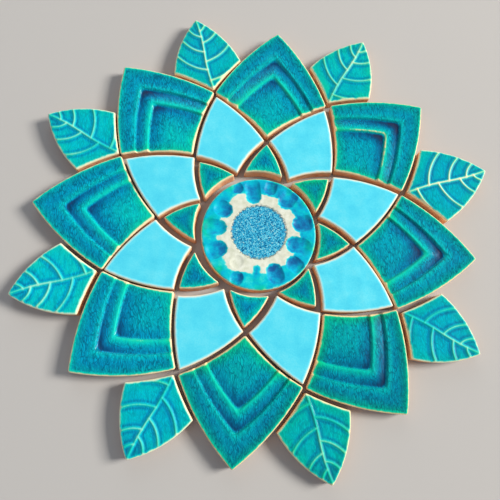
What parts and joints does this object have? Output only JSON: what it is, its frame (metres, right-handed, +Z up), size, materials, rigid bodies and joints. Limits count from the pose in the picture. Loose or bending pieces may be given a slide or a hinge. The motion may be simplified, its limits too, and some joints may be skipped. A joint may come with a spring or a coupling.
{
  "type": "ceramic mandala",
  "caption": "Flat flower-shaped rosette of glazed ceramic tiles: dimpled round centre, triangles, plain kites, chevron petals and veined leaves, laid dry with open joints.",
  "frame": {"origin": "centre of the rosette on the plane of the tiles' backs, under the round centre tile", "axes": "+Z up, out of the glazed faces; +X along the axis of petal_1, from which the tiles are numbered round to +Y"},
  "size_m": [0.2758, 0.2743, 0.0095],
  "materials": {
    "centre_glaze": "turquoise and blue glaze pooled in dimples, bare cream ring, speckled blue pan",
    "triangle_glaze": "dark teal crackle glaze, cream at the edges",
    "sky_glaze": "plain sky-blue satin glaze, white at the edges",
    "petal_glaze": "glossy teal crackle glaze, dark blue where it pools, green to cream at the edges",
    "leaf_glaze": "glossy turquoise crackle glaze, pale over the raised veins"
  },
  "bodies": {
    "root": {"centre_tile": "centre_glaze", "triangle_1": "triangle_glaze", "triangle_2": "triangle_glaze", "triangle_3": "triangle_glaze", "triangle_4": "triangle_glaze", "triangle_5": "triangle_glaze", "triangle_6": "triangle_glaze", "triangle_7": "triangle_glaze", "triangle_8": "triangle_glaze", "sky_1": "sky_glaze", "sky_2": "sky_glaze", "sky_3": "sky_glaze", "sky_4": "sky_glaze", "sky_5": "sky_glaze", "sky_6": "sky_glaze", "sky_7": "sky_glaze", "sky_8": "sky_glaze", "petal_1": "petal_glaze", "petal_2": "petal_glaze", "petal_3": "petal_glaze", "petal_4": "petal_glaze", "petal_5": "petal_glaze", "petal_6": "petal_glaze", "petal_7": "petal_glaze", "petal_8": "petal_glaze", "leaf_1": "leaf_glaze", "leaf_2": "leaf_glaze", "leaf_3": "leaf_glaze", "leaf_4": "leaf_glaze", "leaf_5": "leaf_glaze", "leaf_6": "leaf_glaze", "leaf_7": "leaf_glaze", "leaf_8": "leaf_glaze"}
  },
  "joints": []
}
